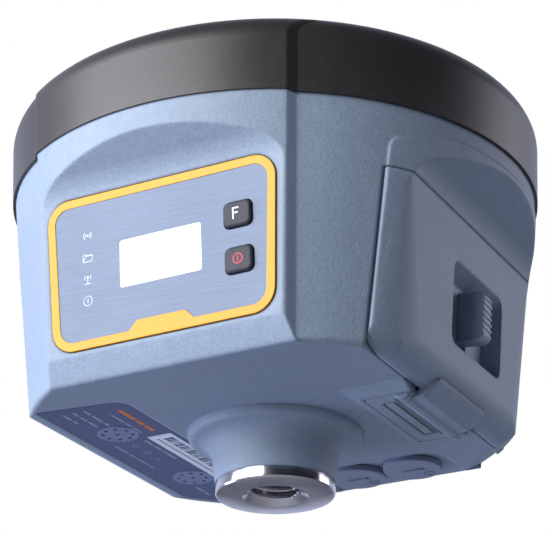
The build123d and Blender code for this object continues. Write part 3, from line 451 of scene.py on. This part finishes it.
def link_sign(x, y):
    """A dot with waves to both sides."""
    outlines = [flat_disc(x, y, 0.32, 16)]
    for radius in (0.75, 1.25):
        outlines += flat_arc(x, y, radius, FINE_LINE, -48, 48, 10)
        outlines += flat_arc(x, y, radius, FINE_LINE, 132, 228, 10)
    return outlines


def folder_sign(x, y):
    front = [(x - 1.4, y + 1.1), (x - 1.4, y - 1.0), (x + 1.2, y - 1.0),
             (x + 1.6, y + 0.6), (x - 0.7, y + 0.6), (x - 1.3, y - 0.9)]
    tab = [(x - 1.4, y + 1.1), (x - 0.5, y + 1.1), (x - 0.2, y + 0.8), (x + 1.2, y + 0.8)]
    return flat_line(front, 0.16) + flat_line(tab, 0.16)


def transmitter_sign(x, y):
    """A mast on a foot, with a wave to each side of its head."""
    head = y + 0.5
    outlines = flat_line([(x, y - 1.2), (x, y + 0.4)], FINE_LINE)
    outlines += flat_line([(x - 1.0, y - 1.3), (x + 1.0, y - 1.3)], FINE_LINE)
    outlines += [flat_disc(x, head, 0.36, 16)]
    outlines += flat_arc(x, head, 1.0, FINE_LINE, -40, 40, 10)
    outlines += flat_arc(x, head, 1.0, FINE_LINE, 140, 220, 10)
    return outlines


def on_sign(x, y):
    """A ring with an upright bar."""
    return flat_arc(x, y, 1.32, FINE_LINE) + flat_line([(x, y - 0.62), (x, y + 0.62)], 0.2)


def add_panel_marks():
    """Lamp symbols beside the display, and a mark on each key."""
    inward = Vector(joints["function_key_press"]["axis"])
    plate_at = middle("panel_plate") + Vector((0, 0, ROW_ZERO * MM))
    plate = face_place("panel_plate", plate_at, inward, UP)
    lens_low, lens_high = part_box("status_lenses")
    lamp_x = (lens_low.x + lens_high.x) / 2 / MM
    outlines = []
    for sign, row in zip((link_sign, folder_sign, transmitter_sign, on_sign), LAMP_ROWS):
        outlines += sign(lamp_x, row - ROW_ZERO)
    printed("lamp_symbols", plate, outlines, PRINT_RAISE, "print_white", "housing")

    key = face_place("function_key", middle("function_key"), inward, UP)
    mark = [flat_rect(-0.92, 0.0, 0.42, 3.2), flat_rect(0.02, 1.39, 1.46, 0.42),
            flat_rect(-0.1, 0.1, 1.22, 0.42)]
    printed("function_mark", key, mark, PRINT_RAISE, "print_white", "function_key")
    key = face_place("power_key", middle("power_key"), inward, UP)
    mark = flat_arc(0, 0, 1.32, 0.34) + flat_line([(0, -0.75), (0, 0.75)], 0.36)
    printed("power_mark", key, mark, PRINT_RAISE, "print_red", "power_key")


# ---------------------------------------------------------------- print on the plate, sticker and battery
WORD_GAP = 0.9
WORD_LINES = (
    # inward from the plate's outer edge, start along the plate, lengths of the words, height of the bars
    (17.2, 10.5, (6.4, 3.1, 4.4), 0.7),
    (12.2, 4.6, (3.4, 5.2, 2.4), 0.75),
    (8.8, 4.6, (2.6, 3.2, 4.6), 0.75),
    (5.4, 4.6, (4.2, 2.2), 0.75),
    (14.8, 32.0, (4.4, 3.6, 7.4), 0.85),
    (5.0, 32.0, (7.0, 3.0, 6.6, 2.2), 0.6),
    (7.2, 74.0, (4.4, 3.0), 0.7),
    (13.0, 76.0, (3.6, 3.0), 0.7),
)
TITLE_X = 21.0
TITLE_BARS = ((8.4, 8.2), (17.6, 3.6), (22.3, 4.2))    # start and length
TITLE_HEIGHT = 1.5
RING_SIGN_AT = (10.2, 35.0)
RING_SIGN_STEP = 6.0
RING_SIGN_SIDES = (4, 6, 3)


def add_label_print():
    """Lines of generic print and small signs on the identification plate."""
    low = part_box("base_label")[0]
    spot = middle("base_label") + Vector((0.004, 0.004, 0))
    sheet = face_place("base_label", spot, FROM_BELOW, PRINT_UP)
    origin = sheet.translation

    def at(x, y):
        """Sheet coordinates of a point given from the plate's front outer corner, x inward, y along."""
        point = Vector((low.x + x * MM, low.y + y * MM, origin.z)) - origin
        return sheet.to_3x3().transposed() @ point / MM

    def dashes(x, y, words, height):
        """A line of word-like bars along the plate, starting at y."""
        bars = []
        for length in words:
            here = at(x, y + length / 2)
            bars.append(flat_rect(here.x, here.y, length, height))
            y += length + WORD_GAP
        return bars

    pale = []
    for line in WORD_LINES:
        pale += dashes(*line)
    sign_x, sign_y = RING_SIGN_AT
    for i, sides in enumerate(RING_SIGN_SIDES):
        here = at(sign_x, sign_y + RING_SIGN_STEP * i)
        pale += flat_arc(here.x, here.y, 1.15, 0.34, 30 * i, 360 + 30 * i, sides)
    printed("label_print", sheet, pale, PRINT_RAISE, "print_pale", "housing")

    orange = []
    for start, length in TITLE_BARS:
        here = at(TITLE_X, start + length / 2)
        orange.append(flat_rect(here.x, here.y, length, TITLE_HEIGHT))
    printed("label_title", sheet, orange, PRINT_RAISE, "print_orange", "housing")


BAR_WIDTHS = (0.5, 0.9, 0.35, 1.3, 0.6)
BAR_GAPS = (0.45, 0.8, 0.35)
BARS_FROM = 2.0                      # margins of the bars and of the row of dots under them
BARS_TO = 3.0
DOTS_FROM = 2.4
DOTS_LESS = 4.0
DOT_STEP = 1.15
DOT_WIDTH = 0.62


def add_sticker_print():
    """A pattern of bars that encodes nothing, with a row of dots under it."""
    low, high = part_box("serial_sticker")
    paper = face_place("serial_sticker", middle("serial_sticker"), FROM_BELOW, PRINT_UP)
    width, length = (high.x - low.x) / MM, (high.y - low.y) / MM
    bars = []
    y = -length / 2 + BARS_FROM
    i = 0
    while y < length / 2 - BARS_TO:
        thick = BAR_WIDTHS[i * 7 % len(BAR_WIDTHS)]
        bars.append(flat_rect(-(y + thick / 2), 0.16 * width, thick, 0.40 * width))
        y += thick + BAR_GAPS[i * 5 % len(BAR_GAPS)]
        i += 1
    for k in range(int((length - DOTS_LESS) / DOT_STEP)):
        along = -length / 2 + DOTS_FROM + k * DOT_STEP
        bars.append(flat_rect(-along, -0.24 * width, DOT_WIDTH, 0.10 * width))
    printed("sticker_print", paper, bars, THIN_RAISE, "print_dark", "housing")


BATTERY_LINES = 4
BATTERY_WORDS = 4
CONTACT_SIGN = 2.6                   # a contact sign's ring radius and bar length
CONTACT_LINE = 0.5


def add_battery_print():
    """Generic print on the battery's paper label: a title bar, lines of words, contact signs and an arrow."""
    low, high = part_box("battery_label")
    sheet = face_place("battery_label", middle("battery_label"), (-1, 0, 0), UP)
    width, height = (high.y - low.y) / MM, (high.z - low.z) / MM
    title = [flat_rect(-0.22 * width, 0.34 * height, 0.44 * width, 0.10 * height)]
    printed("battery_title", sheet, title, THIN_RAISE, "print_orange", "housing")

    marks = []
    for row in range(BATTERY_LINES):
        x = -0.44 * width
        for word in range(BATTERY_WORDS):
            length = 4.0 + (row * 5 + word * 3) % 5 * 1.1
            marks.append(flat_rect(x + length / 2, (0.12 - 0.14 * row) * height, length, 0.9))
            x += length + 1.3
    right = 0.36 * width
    plus_y, minus_y = 0.24 * height, -0.10 * height
    marks += flat_arc(right, plus_y, CONTACT_SIGN, CONTACT_LINE)
    marks += [flat_rect(right, plus_y, CONTACT_SIGN, CONTACT_LINE)]
    marks += [flat_rect(right, plus_y, CONTACT_LINE, CONTACT_SIGN)]
    marks += flat_arc(right, minus_y, CONTACT_SIGN, CONTACT_LINE)
    marks += [flat_rect(right, minus_y, CONTACT_SIGN, CONTACT_LINE)]
    foot, tip = -0.40 * height, -0.27 * height
    marks.append([(right - CONTACT_SIGN, foot), (right + CONTACT_SIGN, foot), (right, tip)])
    printed("battery_print", sheet, marks, THIN_RAISE, "print_dark", "housing")


# ---------------------------------------------------------------- threaded ring
def lathe(name, outline, centre, material, body, steps, wave):
    """A closed outline of (radius, z) turned round an upright axis. wave(turn, radius, z) shifts a radius."""
    mesh = bmesh.new()
    rings = []
    for i in range(steps):
        turn = 2 * math.pi * i / steps
        ring = []
        for radius, z in outline:
            r = radius + wave(turn, radius, z)
            ring.append(mesh.verts.new((centre.x + r * math.cos(turn), centre.y + r * math.sin(turn), z)))
        rings.append(ring)
    count = len(outline)
    for i in range(steps):
        near, far = rings[i], rings[(i + 1) % steps]
        for j in range(count):
            k = (j + 1) % count
            mesh.faces.new((near[j], far[j], far[k], near[k]))
    bmesh.ops.recalc_face_normals(mesh, faces=mesh.faces)
    data = mesh_data_of(mesh, name)
    for face in data.polygons:
        face.use_smooth = True
    data.set_sharp_from_angle(angle=SHARP_ANGLE)
    return new_piece(name, data, material, body)


def add_threaded_ring():
    """The steel ring again, with the pole thread cut in its bore."""
    low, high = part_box("mount_insert")
    mount = next(m for m in record["mounts"] if "thread" in m["name"])
    crest = mount["dims"]["r_mm"] * MM
    outer = (high.x - low.x) / 2
    foot = low.z + RING_FOOT
    start, end = low.z + THREAD_LEAD_IN, low.z + RING_DEPTH
    outline = [(crest + RING_FACE, low.z), (outer - 1.0 * MM, low.z), (outer - 0.35 * MM, low.z + 0.2 * MM),
               (outer - 0.05 * MM, low.z + 0.6 * MM), (outer, low.z + 1.0 * MM), (outer, foot),
               (RING_SLEEVE, foot), (RING_SLEEVE, high.z), (AXIS_GAP, high.z), (AXIS_GAP, end)]
    outline += [(crest, end - (end - start) * i / THREAD_ROWS) for i in range(THREAD_ROWS + 1)]

    def wave(turn, radius, z):
        """The thread's groove: a flat-topped tooth on a helix, fading out at the bore's inner end."""
        if abs(radius - crest) > NEAR or z < start - NEAR:
            return 0.0
        phase = (z / PITCH - turn / (2 * math.pi)) % 1.0
        tooth = abs(2 * phase - 1)
        fade = min(1.0, (end - z) / PITCH)
        return THREAD_DEPTH * min(1.0, max(0.0, 1.25 * tooth - 0.125)) * max(0.0, fade)

    piece = lathe("threaded_ring", outline, middle("mount_insert"), "ring_steel", "housing", RING_STEPS,
                  wave)
    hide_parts("mount_insert")


# ---------------------------------------------------------------- latch spring, hinge plate and port caps
def add_spring():
    """The latch's coil spring, copied onto the door with a mesh of its own."""
    coil = bpy.data.objects.new("coil_spring", nodes["latch_spring"].data.copy())
    coil.matrix_world = nodes["latch_spring"].matrix_world.copy()
    bpy.context.scene.collection.objects.link(coil)
    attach(coil, "door")
    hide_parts("latch_spring")
    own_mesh(coil)


def add_hinge_lines():
    """Painted shade: a dark strip round the hinge's cover plate where its gap lies in shadow, and one across it
    for the slot.
    """
    place = face_place("hinge_plate", middle("hinge_plate"), FROM_BELOW, PRINT_UP)
    low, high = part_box("hinge_plate")
    inset = 0.1
    w = (high.y - low.y) / 2 / MM - inset
    h = (high.x - low.x) / 2 / MM - inset
    lines = flat_line([(-w, -h), (w, -h), (w, h), (-w, h), (-w, -h)], 0.26)
    lines += [flat_rect(0.0, h - 0.75, 2 * w - 1.6, 0.55)]
    # painted shade, drawn in the seal's black rubber
    printed("hinge_plate_shade_lines", place, lines, THIN_RAISE, "seal_rubber", "housing")


CAP_MARK_AT = (3.4, 4.4, 0)          # millimetres from the cap's middle


def add_cap_marks():
    """A ring with a circle of dots on each port cap."""
    for name, body, dots in (("data_port_cap", "data_cap", 5), ("power_port_cap", "power_cap", 2)):
        spot = middle(name) + Vector(CAP_MARK_AT) * MM
        place = face_place(name, spot, FROM_BELOW, PRINT_UP)
        marks = flat_arc(0, 0, 1.5, 0.3)
        for i in range(dots):
            turn = 2 * math.pi * i / dots
            marks.append(flat_disc(0.75 * math.cos(turn), 0.75 * math.sin(turn), 0.24, 12))
        printed(name + "_mark", place, marks, CAP_MARK_RAISE, "print_dark", body)


# ---------------------------------------------------------------- floor
def dim_bounce(material, share):
    """Lets the floor throw back only a share of its light onto the object above it."""
    tree = material.node_tree
    shader = next(node for node in tree.nodes if node.type == "BSDF_PRINCIPLED")
    socket = shader.inputs["Base Color"]
    tone = socket.links[0].from_socket
    seen = tree.nodes.new("ShaderNodeLightPath").outputs["Is Camera Ray"]
    dim = tree.nodes.new("ShaderNodeMix")
    dim.data_type = "RGBA"
    dim.blend_type = "MULTIPLY"
    unseen = tree.nodes.new("ShaderNodeMath")
    unseen.operation = "SUBTRACT"
    unseen.inputs[0].default_value = 1.0
    tree.links.new(seen, unseen.inputs[1])
    tree.links.new(unseen.outputs[0], dim.inputs[0])
    tree.links.new(tone, dim.inputs[6])
    dim.inputs[7].default_value = (share, share, share, 1.0)
    tree.links.new(dim.outputs[2], socket)
    return material


def add_floor():
    mesh = bmesh.new()
    lines = [FLOOR_HALF * (2 * i / FLOOR_STEPS - 1) for i in range(FLOOR_STEPS + 1)]
    grid = [[mesh.verts.new((x, y, FLOOR_Z)) for x in lines] for y in lines]
    for j in range(FLOOR_STEPS):
        for i in range(FLOOR_STEPS):
            mesh.faces.new((grid[j][i], grid[j][i + 1], grid[j + 1][i + 1], grid[j + 1][i]))
    data = mesh_data_of(mesh, "floor")
    floor = bpy.data.objects.new("floor", data)
    bpy.context.scene.collection.objects.link(floor)
    paint = surface("floor_pale", (0.86, 0.87, 0.89), (0.84, 0.85, 0.87), mottle=3.0, rough=(0.7, 0.8),
                    grain=200, bump=0.0)
    data.materials.append(dim_bounce(paint, FLOOR_BOUNCE))


add_camera()
add_world()
for lamp_name, lamp_settings in LAMPS.items():
    add_area(lamp_name, **lamp_settings)
dress_nodes()
add_panel_marks()
add_label_print()
add_sticker_print()
add_battery_print()
add_threaded_ring()
add_spring()
add_hinge_lines()
add_cap_marks()
add_floor()
bpy.context.scene.view_settings.view_transform = "Standard"
